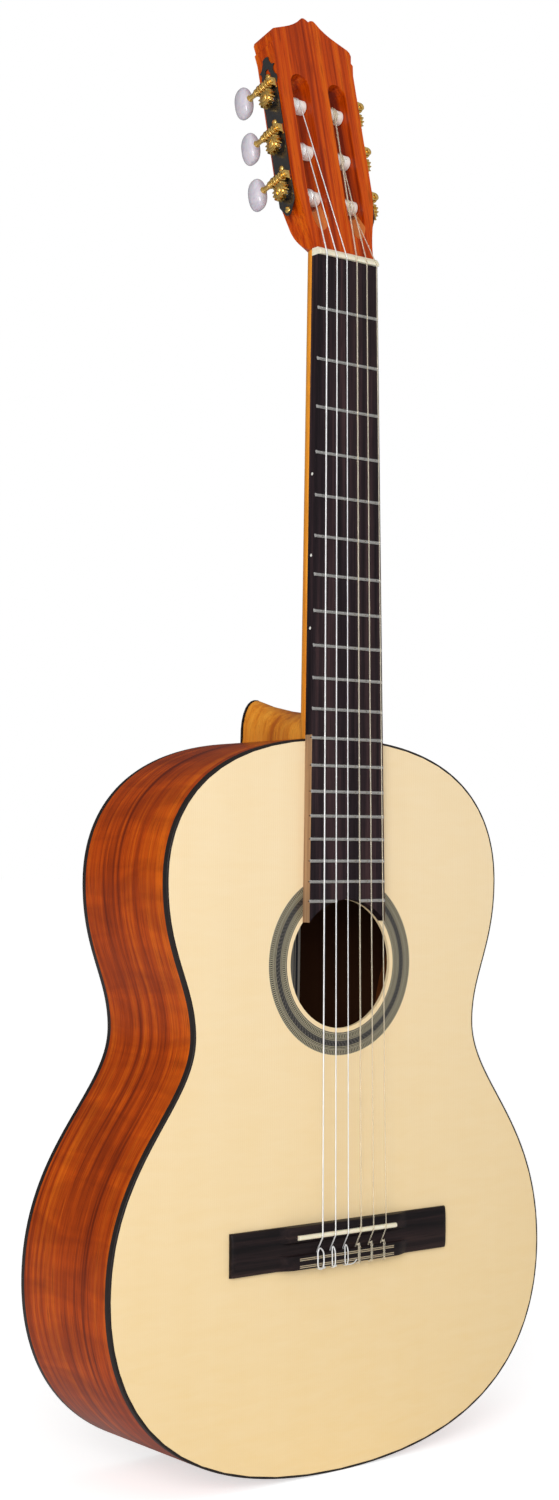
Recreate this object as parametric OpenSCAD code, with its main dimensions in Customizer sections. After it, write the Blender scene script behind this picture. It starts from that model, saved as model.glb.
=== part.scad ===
// Classical guitar with a slotted head and two banks of three worm-gear tuners.
// X runs from the bass side to the treble side, Y from the front to the back, Z up along the neck.
// The origin is at the middle of the nut's front edge, on the plane of the soundboard's face.

/* [Strings] */
// String length from the nut to the saddle
scale_length = 650; // [648:1:652]
// Distance between the outer strings at the nut
nut_spread = 44; // [42:0.5:45]
// Distance between the outer strings at the saddle
saddle_spread = 55; // [53:0.5:57]
// Height of the strings above the fingerboard
string_height = 2.3; // [2:0.1:3]

/* [Body] */
// Length of the body
body_len = 485; // [480:1:490]
// Width across the upper bout
upper_w = 285; // [280:1:290]
// Width across the waist
waist_w = 241; // [236:1:246]
// Width across the lower bout
lower_w = 368; // [362:1:374]
// Depth of the body at the heel
depth_heel = 96; // [94:1:98]
// Depth of the body at the tail
depth_tail = 106; // [102:1:108]
// Thickness of the soundboard and of the back
plate_t = 2.5; // [2:0.1:3]
// Thickness of the sides
side_t = 2; // [1.8:0.1:2.4]
// Thickness of the binding, seen from the front
binding_t = 1.5; // [1.2:0.1:1.7]
// Height of the binding, seen from the side
binding_h = 4.5; // [4:0.5:6]
// Radius of the sound hole
hole_r = 43; // [42:0.5:44]
// Outer radius of the rosette
rosette_r = 61; // [58:0.5:63]

/* [Neck] */
// Width of the neck at the nut
nut_w = 52; // [51:0.5:53]
// Width of the neck at the 12th fret
neck_w = 62; // [61:0.5:63]
// Thickness of the fingerboard
board_t = 7; // [6:0.5:7.5]
// Thickness of the neck wood under the nut
neck_t = 15.5; // [14:0.5:17]

/* [Head] */
// Angle by which the head leans back
head_tilt = 13; // [12:0.5:14]
// Length of the head
head_len = 185; // [183:1:188]
// Width of the head
head_w = 70; // [69:0.5:72]
// Thickness of the head
head_t = 20; // [19:0.5:22]

/* [Tuners] */
// Distance between neighbouring rollers
roller_pitch = 35; // [34:0.5:36]
// Radius of the roller barrel
roller_r = 5; // [4.5:0.1:5.5]
// Length of the button across its paddle
button_len = 23; // [20:0.5:24]

/* [Hidden] */
$fn = 48;

// Body outline: half widths and heights of its widest and narrowest places
body_top = -324;
body_end = body_top - body_len;
upper_z = body_top - 95;
waist_z = body_top - 195;
lower_z = body_top - 352;
back_tilt = atan((depth_tail - depth_heel) / body_len);
curve_steps = 14;
far_depth = 130;
back_start = 60;
half_curves = [
    [[0, body_top], [106, body_top], [upper_w / 2, upper_z + 50], [upper_w / 2, upper_z]],
    [[upper_w / 2, upper_z], [upper_w / 2, upper_z - 48],
        [waist_w / 2, waist_z + 34], [waist_w / 2, waist_z]],
    [[waist_w / 2, waist_z], [waist_w / 2, waist_z - 43],
        [lower_w / 2, lower_z + 84], [lower_w / 2, lower_z]],
    [[lower_w / 2, lower_z], [lower_w / 2, lower_z - 72], [136, body_end], [0, body_end]]
];

// Sound hole and rosette
hole_z = body_top - 151;
rosette_in = 46;
rosette_t = 0.8;

// Inside of the body
block_w = 72;
neck_block_len = 28;
tail_block_len = 18;
lining_w = 5;
lining_h = 14;
brace_gap = 1;
bar_w = 8;
bar_h = 14;
bar_z = [body_top - 88, body_top - 210];
fan_w = 6;
fan_len = 240;
fan_pitch = 14;
fan_angle = 6;
fan_top = body_top - 216;
fan_edge = 30;
back_bar_h = 13;
back_bar_z = [-75, -215, -350];
brace_reach = 200;
label_w = 84;
label_len = 96;
label_t = 0.3;

// Heel: depth, half width and length above the body of each slice
cap_t = 2;
cap_w = 13;
cap_len = 31;
heel_slices = [
    [6, 29.5, 19],
    [28, 25, 18.5],
    [55, 17.5, 21],
    [76, 14.2, 25.5],
    [depth_heel - cap_t - 0.01, cap_w, cap_len]
];
neck_growth = 3;

// Fingerboard, frets and nut
fret_count = 19;
board_end = -447;
board_w_end = nut_w + (neck_w - nut_w) * 2 * -board_end / scale_length;
fret_h = 1;
fret_r = 1.25;
tang_t = 0.6;
tang_h = 2;
nut_t = 5;
nut_top = board_t + string_height;
dot_frets = [5, 7, 9];
dot_r = 1;
dot_depth = 1.5;

// Bridge
bridge_len = 185;
bridge_w = 28;
bridge_z = -scale_length + 5.5;
wing_h = 4;
rail_h = 7;
rail_w = 10;
tie_w = 9.5;
tie_h = 7.5;
groove_h = 3.5;
block_half = 41.5;
saddle_len = 84;
saddle_t = 3;
saddle_z = -scale_length - 1.5;
saddle_top = board_t + 2.5;
saddle_depth = 3;
line_w = 0.5;
line_t = 0.4;
line_pitch = 1.1;
line_inset = 3;
hole_h = 4.2;
tie_hole_r = 0.9;

// Strings, from the lowest to the highest
string_r = [0.55, 0.47, 0.4, 0.5, 0.42, 0.36];
nut_shift = 1;
saddle_shift = 4;
string_sides = 8;
wind_gap = 0.3;
wind_steps = 30;
wind_place = 15.5;

// Head: e is the distance along the head, n the depth behind its face
head_y = -4;
slot_x = 16.5;
slot_r = 8;
slot_low = 46;
slot_high = 130;
ramp_start = 20;
ramp_r = 7.7;
ramp_angle = 26;
web_x = slot_x - slot_r;
cheek_x = slot_x + slot_r;
throat_e = 44;
axle_n = head_t / 2;
roller_e = [for (i = [0:2]) 49 + roller_pitch * i];
journal_r = 3;
pivot_r = 2.5;
run_gap = 0.06;
pivot_depth = 5;

// Tuner plates, gears and worms
plate_x = head_w / 2;
plate_thick = 1;
screw_e = [36, 66.5, 101.5, 136];
screw_r = 1.1;
screw_len = 8;
teeth = 14;
gear_pitch_r = 6.3;
gear_tip_r = 7;
gear_root_r = 5.4;
gear_t = 4;
gear_x = plate_x + plate_thick + 3.9;
worm_offset = 9.3;
worm_root_r = 2.1;
worm_tip_r = 3.4;
thread_pitch = 2 * PI * gear_pitch_r / teeth;
thread_steps = 12;
worm_shaft_r = 1.6;
ear_t = 1.2;
ear_n = [2.6, 17.4];
ear_r = 2.7;
collar_r = 2.6;
collar_len = 3;
boss_r = 2.8;
boss_len = 1.6;
shaft_end = 2.4;
button_n = 34.5;
button_deep = 15;
button_thick = 10;

// String i: 0 to 2 on the bass side, 3 to 5 on the treble side
function side_of(i) = i < 3 ? -1 : 1;
function roller_of(i) = i < 3 ? roller_e[i] : roller_e[5 - i];
function nut_x(i) = nut_shift + nut_spread * (i / 5 - 0.5);
function saddle_x(i) = saddle_shift + saddle_spread * (i / 5 - 0.5);
function wind_x(i) = side_of(i) * wind_place;

function fret_z(k) = -scale_length * (1 - pow(2, -k / 12));
function board_w(z) = nut_w + (neck_w - nut_w) * -z * 2 / scale_length;

// Cubic curve, its direction, and the body outline moved inwards by inset
function curve(c, t) = pow(1 - t, 3) * c[0] + 3 * t * pow(1 - t, 2) * c[1]
    + 3 * t * t * (1 - t) * c[2] + pow(t, 3) * c[3];
function slope(c, t) = pow(1 - t, 2) * (c[1] - c[0]) + 2 * t * (1 - t) * (c[2] - c[1])
    + t * t * (c[3] - c[2]);
function inward(d) = [d[1], -d[0]] / norm(d);
function half_outline(inset) = [
    for (c = half_curves, k = [0:curve_steps - 1])
        curve(c, k / curve_steps) + inset * inward(slope(c, k / curve_steps)),
    [0, body_end + inset]
];
function flip(points) = [for (k = [len(points) - 1:-1:0]) [-points[k][0], points[k][1]]];
function inner(points) = [for (k = [1:len(points) - 2]) points[k]];

module body_shape(inset) {
    half = half_outline(inset);
    polygon(concat(half, inner(flip(half))));
}

module body_ring(outer_inset, inner_inset) {
    difference() {
        body_shape(outer_inset);
        body_shape(inner_inset);
    }
}

// Extrudes an X-Z shape from depth y0 to depth y1
module slab(y0, y1) {
    translate([0, y1, 0]) rotate([90, 0, 0]) linear_extrude(y1 - y0) children();
}

// Everything between d0 and d1 in front of the back's outer face
module back_slab(d0, d1) {
    translate([0, depth_heel, body_top]) rotate([back_tilt, 0, 0])
        translate([-250, -d1, -600]) cube([500, d1 - d0, 640]);
}

// Cylinder that points from the front to the back
module rod_y(y0, y1, r) {
    translate([0, y1, 0]) rotate([90, 0, 0]) cylinder(h = y1 - y0, r = r);
}

// Cylinder along X inside the head's frame
module rod_x(x0, x1, r) {
    translate([x0, 0, 0]) rotate([0, 90, 0]) cylinder(h = x1 - x0, r = r);
}

module in_head() {
    translate([0, head_y, 0]) rotate([-head_tilt, 0, 0]) children();
}

// Places the bass-side or treble-side copy of a treble-side part
module on_side(side) {
    if (side > 0) {
        children();
    } else {
        mirror([1, 0, 0]) children();
    }
}

module soundboard() {
    color("wheat") difference() {
        slab(0, plate_t) body_shape(binding_t);
        translate([0, 0, hole_z]) rod_y(-1, plate_t + 1, hole_r);
        translate([0, 0, hole_z]) difference() {
            rod_y(-1, rosette_t, rosette_r);
            rod_y(-2, rosette_t + 1, rosette_in);
        }
    }
}

module rosette() {
    color("dimgray") translate([0, 0, hole_z]) difference() {
        rod_y(0, rosette_t, rosette_r);
        rod_y(-1, rosette_t + 1, rosette_in);
    }
}

module back_plate() {
    color("sienna") intersection() {
        slab(back_start, far_depth) body_shape(binding_t);
        back_slab(0, plate_t);
    }
}

module side(sign) {
    color("chocolate") intersection() {
        union() {
            intersection() {
                slab(plate_t, far_depth) body_ring(binding_t, side_t);
                back_slab(plate_t, far_depth);
            }
            intersection() {
                slab(binding_h, far_depth) body_ring(0, side_t);
                back_slab(binding_h, far_depth);
            }
        }
        translate([sign > 0 ? 0 : -300, -10, -900]) cube([300, 200, 700]);
    }
}

module top_binding() {
    color("black") slab(0, binding_h) body_ring(0, binding_t);
}

module back_binding() {
    color("black") intersection() {
        slab(back_start, far_depth) body_ring(0, binding_t);
        back_slab(0, binding_h);
    }
}

module block_space(z0, z1) {
    translate([-block_w / 2, 0, z0]) cube([block_w, 140, z1 - z0]);
}

module block_body(z0, z1) {
    color("burlywood") intersection() {
        slab(plate_t, far_depth) body_shape(side_t);
        back_slab(plate_t, far_depth);
        block_space(z0, z1);
    }
}

module neck_block() {
    block_body(body_top - neck_block_len, body_top);
}

module tail_block() {
    block_body(body_end, body_end + tail_block_len);
}

module lining(y0, y1, d0, d1) {
    color("peru") difference() {
        intersection() {
            slab(y0, y1) body_ring(side_t, side_t + lining_w);
            back_slab(d0, d1);
        }
        block_space(body_top - neck_block_len, body_top + 1);
        block_space(body_end - 1, body_end + tail_block_len);
    }
}

module top_lining() {
    lining(plate_t, plate_t + lining_h, plate_t, far_depth);
}

module back_lining() {
    lining(plate_t, 130, plate_t, plate_t + lining_h);
}

// Bars across the soundboard above and below the sound hole
module cross_bars() {
    color("navajowhite") intersection() {
        union() {
            for (z = bar_z) {
                translate([-brace_reach, plate_t, z - bar_w / 2]) cube([2 * brace_reach, bar_h, bar_w]);
            }
        }
        slab(0, plate_t + bar_h + 1) body_shape(side_t + lining_w + brace_gap);
    }
}

// Fan of light struts under the lower bout
module fan_braces() {
    color("navajowhite") intersection() {
        union() {
            for (k = [-3:3]) {
                translate([k * fan_pitch, 0, fan_top]) rotate([0, -k * fan_angle, 0])
                    translate([-fan_w / 2, plate_t, -fan_len]) cube([fan_w, fan_w, fan_len]);
            }
        }
        translate([-brace_reach, 0, body_end])
            cube([2 * brace_reach, plate_t + bar_h, fan_top - 2 - body_end]);
        slab(0, plate_t + bar_h) body_shape(side_t + lining_w + fan_edge);
    }
}

// Bars across the inside of the back
module back_braces() {
    color("navajowhite") intersection() {
        translate([0, depth_heel, body_top]) rotate([back_tilt, 0, 0]) {
            for (z = back_bar_z) {
                translate([-brace_reach, -plate_t - back_bar_h, z - bar_w / 2])
                    cube([2 * brace_reach, back_bar_h, bar_w]);
            }
        }
        slab(40, far_depth) body_shape(side_t + lining_w + brace_gap);
    }
}

module label() {
    color("ivory") translate([0, depth_heel, body_top]) rotate([back_tilt, 0, 0])
        translate([-label_w / 2, -plate_t - label_t, hole_z - body_top - label_len / 2])
        cube([label_w, label_t, label_len]);
}

// Bridge: flat wings, a saddle rail, a groove and a drilled tie block
module bridge() {
    color("saddlebrown") difference() {
        translate([0, 0, bridge_z]) union() {
            translate([-bridge_len / 2, -wing_h, -bridge_w]) cube([bridge_len, wing_h, bridge_w]);
            translate([-block_half, -rail_h, -rail_w]) cube([2 * block_half, rail_h, rail_w]);
            translate([-block_half, -tie_h, -bridge_w]) cube([2 * block_half, tie_h, tie_w]);
        }
        translate([-block_half - 1, -wing_h - 1, bridge_z - bridge_w + tie_w])
            cube([2 * block_half + 2, wing_h - groove_h + 1, bridge_w - rail_w - tie_w]);
        translate([-saddle_len / 2, -rail_h - 1, saddle_z - saddle_t / 2])
            cube([saddle_len, rail_h + 1 - saddle_depth, saddle_t]);
        for (i = [0:5]) {
            translate([saddle_x(i), -hole_h, bridge_z - bridge_w - 1])
                cylinder(h = tie_w + 2, r = tie_hole_r);
        }
        tie_block_trim_bars();
    }
}

module tie_block_trim_bars() {
    for (z = [bridge_z - bridge_w + 1.6, bridge_z - bridge_w + tie_w - 3.2], dz = [0, line_pitch]) {
        translate([line_inset - block_half, -tie_h, z + dz - line_w / 2])
            cube([2 * (block_half - line_inset), line_t, line_w]);
    }
}

module tie_block_trim() {
    color("tan") tie_block_trim_bars();
}

module saddle() {
    color("ivory") translate([0, 0, saddle_z]) union() {
        translate([-saddle_len / 2, -saddle_top + saddle_t / 2, -saddle_t / 2])
            cube([saddle_len, saddle_top - saddle_t / 2 - saddle_depth, saddle_t]);
        translate([-saddle_len / 2, -saddle_top + saddle_t / 2, 0]) rotate([0, 90, 0])
            cylinder(h = saddle_len, r = saddle_t / 2);
    }
}

// D-shaped half of the neck's section, from its flat face to its round back
function neck_back(w, t) = [for (a = [0:10:180]) [w / 2 * cos(a), t * pow(sin(a), 0.85)]];

module neck_slice(z, w, t, lift) {
    translate([0, 0, z]) linear_extrude(0.01)
        polygon(concat(neck_back(w, t), [[-w / 2, -lift], [w / 2, -lift]]));
}

function heel_tip(w, length) = [for (a = [0:12:180]) [w * cos(a), body_top + length * pow(sin(a), 0.75)]];

module heel_slice(s) {
    slab(s[0], s[0] + 0.01)
        polygon(concat(heel_tip(s[1], s[2]), [[-s[1], body_top - 8], [s[1], body_top - 8]]));
}

module neck() {
    color("peru") difference() {
        union() {
            hull() {
                neck_slice(nut_t - 0.01, nut_w, neck_t, 0);
                neck_slice(body_top - 8, board_w(body_top), neck_t + neck_growth, 0);
            }
            for (k = [0:len(heel_slices) - 2]) {
                hull() {
                    heel_slice(heel_slices[k]);
                    heel_slice(heel_slices[k + 1]);
                }
            }
        }
        slab(-1, far_depth) body_shape(0);
    }
}

module heel_cap() {
    color("black") difference() {
        slab(depth_heel - cap_t, depth_heel - 0.5) polygon(heel_tip(cap_w, cap_len));
        slab(-1, far_depth) body_shape(0);
    }
}

module fingerboard() {
    color("dimgray") difference() {
        slab(-board_t, 0) polygon([
            [-nut_w / 2, 0], [nut_w / 2, 0], [board_w_end / 2, board_end], [-board_w_end / 2, board_end]
        ]);
        translate([0, 0, hole_z]) rod_y(-board_t - 1, 1, hole_r);
        for (k = [1:fret_count]) {
            translate([-40, -board_t - 1, fret_z(k) - tang_t / 2]) cube([80, tang_h + 1, tang_t]);
        }
        dot_bores();
    }
}

module dot_bores() {
    for (k = dot_frets) {
        z = (fret_z(k) + fret_z(k - 1)) / 2;
        translate([-board_w(z) / 2 - 0.05, -board_t / 2, z]) rotate([0, 90, 0])
            cylinder(h = dot_depth, r = dot_r);
    }
}

module side_dots() {
    color("white") dot_bores();
}

// Nickel frets: a round crown on the board and a tang in its slot
module frets() {
    color("silver") for (k = [1:fret_count]) {
        z = fret_z(k);
        difference() {
            union() {
                intersection() {
                    translate([-board_w(z) / 2, -board_t - fret_h + fret_r, z]) rotate([0, 90, 0])
                        cylinder(h = board_w(z), r = fret_r);
                    translate([-50, -board_t - fret_r, z - 5]) cube([100, fret_r, 10]);
                }
                translate([-board_w(z) / 2, -board_t - 0.1, z - tang_t / 2])
                    cube([board_w(z), tang_h + 0.1, tang_t]);
            }
            translate([0, 0, hole_z]) rod_y(-board_t - 5, 5, hole_r);
        }
    }
}

module nut() {
    color("ivory") translate([-nut_w / 2, 0, 0]) rotate([90, 0, 90]) linear_extrude(nut_w)
        polygon([[0, 0], [0.4 - nut_top, 0], [-nut_top, 0.4], [0.1 - nut_top, 1],
            [3 - nut_top, nut_t], [0, nut_t]]);
}

// Half of the head's outline: flared throat, straight side, small step and crested tip
function throat_curve(t) = curve([[nut_w / 2, 0], [nut_w / 2, 26],
    [head_w / 2 - 2, 32], [head_w / 2, 58]], t);
function crest_curve(t) = curve([[head_w / 2 - 2, head_len - 15.5], [22, head_len - 11], [14, head_len - 9],
    [6.5, head_len - 1.2]], t);
function hump_curve(t) = curve([[6.5, head_len - 1.2], [5, head_len + 0.5], [2.6, head_len + 0.3],
    [0, head_len - 2]], t);
function head_half() = concat(
    [for (k = [0:8]) throat_curve(k / 8)],
    [[head_w / 2, head_len - 35], [head_w / 2 + 1.2, head_len - 27], [head_w / 2 - 0.2, head_len - 25.5]],
    [[head_w / 2 + 0.8, head_len - 19.5], [head_w / 2 - 0.2, head_len - 17]],
    [for (k = [0:6]) crest_curve(k / 6)],
    [for (k = [1:4]) hump_curve(k / 4)]
);

module head_shape() {
    half = head_half();
    polygon(concat(half, [for (k = [len(half) - 2:-1:0]) [-half[k][0], half[k][1]]]));
}

// Slot with round ends and the ramp that leads the strings into it
module head_slot() {
    slab(-20, 60) polygon([
        for (k = [0:10]) [slot_x - slot_r * cos(18 * k), slot_high + slot_r * sin(18 * k)],
        for (k = [0:10]) [slot_x + slot_r * cos(18 * k), slot_low - slot_r * sin(18 * k)]
    ]);
    translate([slot_x, -ramp_r * cos(ramp_angle), ramp_start + ramp_r * sin(ramp_angle)])
        rotate([-ramp_angle, 0, 0]) translate([0, 0, -6]) cylinder(h = 32, r = ramp_r);
}

module head_bores() {
    for (e = roller_e) {
        translate([0, axle_n, e]) {
            rod_x(web_x - pivot_depth - 0.3, web_x + 1, pivot_r + run_gap);
            rod_x(cheek_x - 1, plate_x + 5, journal_r + run_gap);
        }
    }
    for (e = screw_e) {
        translate([0, axle_n, e]) rod_x(plate_x - screw_len, plate_x + 5, screw_r);
    }
}

module headstock() {
    lift = -head_y - nut_t * tan(head_tilt);
    color("sienna") difference() {
        union() {
            in_head() intersection() {
                slab(0, head_t) head_shape();
                translate([-60, -1, throat_e]) cube([120, head_t + 2, 200]);
            }
            intersection() {
                in_head() slab(-5, head_t + 10) head_shape();
                hull() {
                    neck_slice(nut_t, nut_w, neck_t, lift);
                    in_head() translate([-60, 0, throat_e]) cube([120, head_t, 0.01]);
                }
            }
        }
        in_head() for (side = [-1, 1]) {
            on_side(side) head_slot();
            on_side(side) head_bores();
        }
    }
}

// Extrudes a shape drawn in depth and distance along the head from x0 to x1
module side_sheet(x0, x1) {
    translate([x0, 0, 0]) rotate([90, 0, 90]) linear_extrude(x1 - x0) children();
}

module plate_shape() {
    difference() {
        union() {
            translate([2, 36]) square([head_t - 4, 92]);
            translate([axle_n, 36]) circle(r = 4);
            translate([axle_n, 130]) circle(r = 8);
            translate([axle_n, 139]) circle(r = 8);
            translate([axle_n - 3, 140]) square([6, 11]);
        }
        for (s = [-1, 1]) {
            translate([axle_n + s * 3.6, 141]) circle(r = 2.6);
            translate([axle_n + s * 8, 149]) circle(r = 3.5);
        }
    }
}

// Upright ear that carries one end of a worm
module worm_ear() {
    side_sheet(plate_x + plate_thick - 0.5, gear_x)
        translate([-ear_t / 2, -ear_r]) square([ear_t, 2 * ear_r]);
    translate([gear_x, 0, 0]) rod_y(-ear_t / 2, ear_t / 2, ear_r);
}

module tuner_plate(side) {
    color("black") in_head() on_side(side) difference() {
        union() {
            side_sheet(plate_x, plate_x + plate_thick) plate_shape();
            for (e = roller_e, n = ear_n) {
                translate([0, n, e + worm_offset]) worm_ear();
            }
        }
        for (e = roller_e) {
            translate([0, axle_n, e]) rod_x(plate_x - 1, plate_x + 5, journal_r + run_gap);
            translate([gear_x, 0, e + worm_offset]) rod_y(0, head_t, worm_shaft_r + run_gap);
        }
        for (e = screw_e) {
            translate([0, axle_n, e]) rod_x(plate_x - 1, plate_x + 5, screw_r);
        }
    }
}

// Screw with a domed, slotted head, seated on the plate
module plate_screw() {
    difference() {
        translate([plate_x + plate_thick, 0, 0]) rotate([0, 90, 0]) rotate_extrude() polygon([
            [0, -screw_len - plate_thick], [screw_r, -screw_len - plate_thick], [screw_r, 0],
            [2.4, 0], [2.4, 0.5], [2, 1.3], [1.2, 1.8], [0, 2]
        ]);
        translate([plate_x + plate_thick + 1.3, -3, -0.3]) cube([2, 6, 0.6]);
    }
}

module plate_screws() {
    color("gold") in_head() for (side = [-1, 1], e = screw_e) {
        on_side(side) translate([0, axle_n, e]) plate_screw();
    }
}

// Roller: pivot in the middle web, barrel in the slot and journal through the cheek
module roller(i) {
    color("white") in_head() on_side(side_of(i)) translate([0, axle_n, roller_of(i)]) difference() {
        union() {
            rod_x(web_x - pivot_depth, web_x + 1, pivot_r);
            rod_x(web_x + 0.5, cheek_x - 0.5, roller_r);
            rod_x(cheek_x - 1, gear_x - gear_t / 2, journal_r);
        }
        translate([wind_x(5) + 5, 0, 0]) rod_y(-10, 10, 0.8);
    }
}

function tooth(k) = let (a = 360 / teeth * k, tip = 2.2, mid = 3.7) [
    for (p = [[gear_root_r, -7], [gear_pitch_r, -mid], [gear_tip_r, -tip], [gear_tip_r, tip],
        [gear_pitch_r, mid], [gear_root_r, 7]])
        p[0] * [sin(a + p[1]), cos(a + p[1])]
];

module worm_gear(i) {
    color("gold") in_head() on_side(side_of(i)) translate([0, axle_n, roller_of(i)]) union() {
        side_sheet(gear_x - gear_t / 2, gear_x + gear_t / 2)
            polygon([for (k = [0:teeth - 1], p = tooth(k)) p]);
        rod_x(gear_x + gear_t / 2 - 0.5, gear_x + gear_t / 2 + boss_len, boss_r);
    }
}

// Section of the worm: a round root with the thread standing out on one side
function thread_section() = concat(
    [for (a = [-36, 0, 36]) worm_tip_r * [cos(a), sin(a)]],
    [for (a = [88:46:272]) worm_root_r * [cos(a), sin(a)]]
);

// One section of the right-handed thread, a fraction f of the way up the worm
function thread_ring(f, length) = let (turn = 360 * (f - 0.5) * length / thread_pitch - 90)
    [for (p = thread_section()) [
        p[0] * cos(turn) - p[1] * sin(turn), p[0] * sin(turn) + p[1] * cos(turn), (f - 0.5) * length
    ]];

// Worm thread with a gap facing the gear's top tooth
module thread(length) {
    rings = round(thread_steps * length / thread_pitch);
    sides = len(thread_section());
    tube_skin([for (k = [0:rings], p = thread_ring(k / rings, length)) p], rings, sides);
}

// Closed skin over rings of points, each ring having the same number of sides
module tube_skin(points, rings, sides) {
    polyhedron(points, concat(
        [[for (j = [0:sides - 1]) j]],
        [for (k = [0:rings - 1], j = [0:sides - 1])
            [sides * k + j, sides * k + sides + j, sides * k + (j + 1) % sides]],
        [for (k = [0:rings - 1], j = [0:sides - 1])
            [sides * k + sides + j, sides * k + sides + (j + 1) % sides, sides * k + (j + 1) % sides]],
        [[for (j = [sides - 1:-1:0]) sides * rings + j]]
    ), convexity = 10);
}

// Frame of a worm: its own Z runs along its axis, towards the back
module at_worm(i) {
    in_head() translate([side_of(i) * gear_x, axle_n, roller_of(i) + worm_offset])
        rotate([-90, 0, 0]) children();
}

module worm_shaft(i) {
    length = ear_n[1] - ear_n[0] - ear_t - 0.4;
    front = ear_n[0] - axle_n - 1.6;
    rear = button_n - axle_n + shaft_end;
    color("gold") at_worm(i) union() {
        thread(length);
        translate([0, 0, front]) cylinder(h = -length / 2 - front, r = worm_shaft_r);
        translate([0, 0, length / 2]) cylinder(h = rear - length / 2, r = worm_shaft_r);
        translate([0, 0, ear_n[1] - axle_n + ear_t / 2 + wind_gap]) cylinder(h = collar_len, r = collar_r);
    }
}

module tuner_button(i) {
    color("whitesmoke") at_worm(i) difference() {
        translate([0, 0, button_n - axle_n]) scale([button_thick / 2, button_len / 2, button_deep / 2])
            sphere(r = 1, $fn = 24);
        cylinder(h = button_n - axle_n + shaft_end, r = worm_shaft_r);
    }
}

// Point where a line from p touches the circle round c, on the side that faces the front
function touch(p, c, r) = let (
    d = c - p,
    far = norm(d),
    reach = sqrt(far * far - r * r),
    a = atan2(d[1], d[0]) + asin(r / far)
) p + reach * [cos(a), sin(a)];

function to_head(p) = [
    (p[0] - head_y) * cos(head_tilt) - p[1] * sin(head_tilt),
    (p[0] - head_y) * sin(head_tilt) + p[1] * cos(head_tilt)
];
function from_head(q) = [
    head_y + q[0] * cos(head_tilt) + q[1] * sin(head_tilt),
    -q[0] * sin(head_tilt) + q[1] * cos(head_tilt)
];

function wind_axis(i) = [axle_n, roller_of(i)];
function wind_r(i) = roller_r + wind_gap + string_r[i];
function wind_start(i) = touch(to_head([-nut_top - string_r[i], 0.6]), wind_axis(i), wind_r(i))
    - wind_axis(i);

// Point k of the turns round the roller, counted back from where the string leaves it
function wind_point(i, k) = let (
    start = wind_start(i),
    a = atan2(start[1], start[0]) - k * 30,
    p = from_head(wind_axis(i) + wind_r(i) * [cos(a), sin(a)])
) [wind_x(i) + side_of(i) * (2 * string_r[i] + 0.1) * k / 12, p[0], p[1]];

// Route of a string from its turns on the roller to the knot on the tie block
function route(i) = let (
    r = string_r[i],
    x = saddle_x(i),
    back = bridge_z - bridge_w - r - 0.1,
    front = bridge_z - bridge_w + tie_w + r + 0.1
) concat(
    [for (k = [wind_steps:-1:0]) wind_point(i, k)],
    [
        [nut_x(i), -nut_top - r, 0.6],
        [x, -saddle_top - r, saddle_z],
        [x, -hole_h, front + 0.3],
        [x, -hole_h, back + 0.3],
        [x + 0.3, -hole_h - 1, back],
        [x + 0.9, -tie_h - r + 0.5, back],
        [x + 1.1, -tie_h - r, back + 0.6],
        [x + 1.4, -tie_h - r, front]
    ]
);

function unit(v) = v / norm(v);
function tube_dir(p, k) = k == 0 ? unit(p[1] - p[0]) : k == len(p) - 1 ? unit(p[k] - p[k - 1])
    : unit(unit(p[k] - p[k - 1]) + unit(p[k + 1] - p[k]));
function tube_ring(p, k, r) = let (
    t = tube_dir(p, k),
    u = unit([1, 0, 0] - t[0] * t),
    v = cross(t, u)
) [for (j = [0:string_sides - 1], a = 360 * j / string_sides) p[k] + r * (cos(a) * u + sin(a) * v)];

module tube(p, r) {
    last = len(p) - 1;
    tube_skin([for (k = [0:last], q = tube_ring(p, k, r)) q], last, string_sides);
}

module string(i) {
    color(i < 3 ? "silver" : "lightgray") tube(route(i), string_r[i]);
}

soundboard();
back_plate();
side(-1);  // bass_side
side(1);  // treble_side
top_binding();
back_binding();
rosette();
bridge();
saddle();
tie_block_trim();
neck();
headstock();
heel_cap();
fingerboard();
frets();
nut();
side_dots();
neck_block();
tail_block();
top_lining();
back_lining();
cross_bars();
fan_braces();
back_braces();
label();
tuner_plate(-1);  // tuner_plate_bass
tuner_plate(1);  // tuner_plate_treble
plate_screws();
for (i = [1:6]) {
    string(i - 1);
    roller(i - 1);
    worm_gear(i - 1);
    worm_shaft(i - 1);
    tuner_button(i - 1);
}
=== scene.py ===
"""Looks of the classical guitar: detailed wood, bone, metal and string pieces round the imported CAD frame.

Places and sizes are in millimetres and follow the frame: X to the treble side, Y to the back, Z up,
with the origin at the nut's front edge on the plane of the soundboard's face.
"""

from math import asin, atan2, ceil, cos, hypot, pi, radians, sin, sqrt

import bmesh
import bpy
from mathutils import Matrix, Vector

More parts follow.
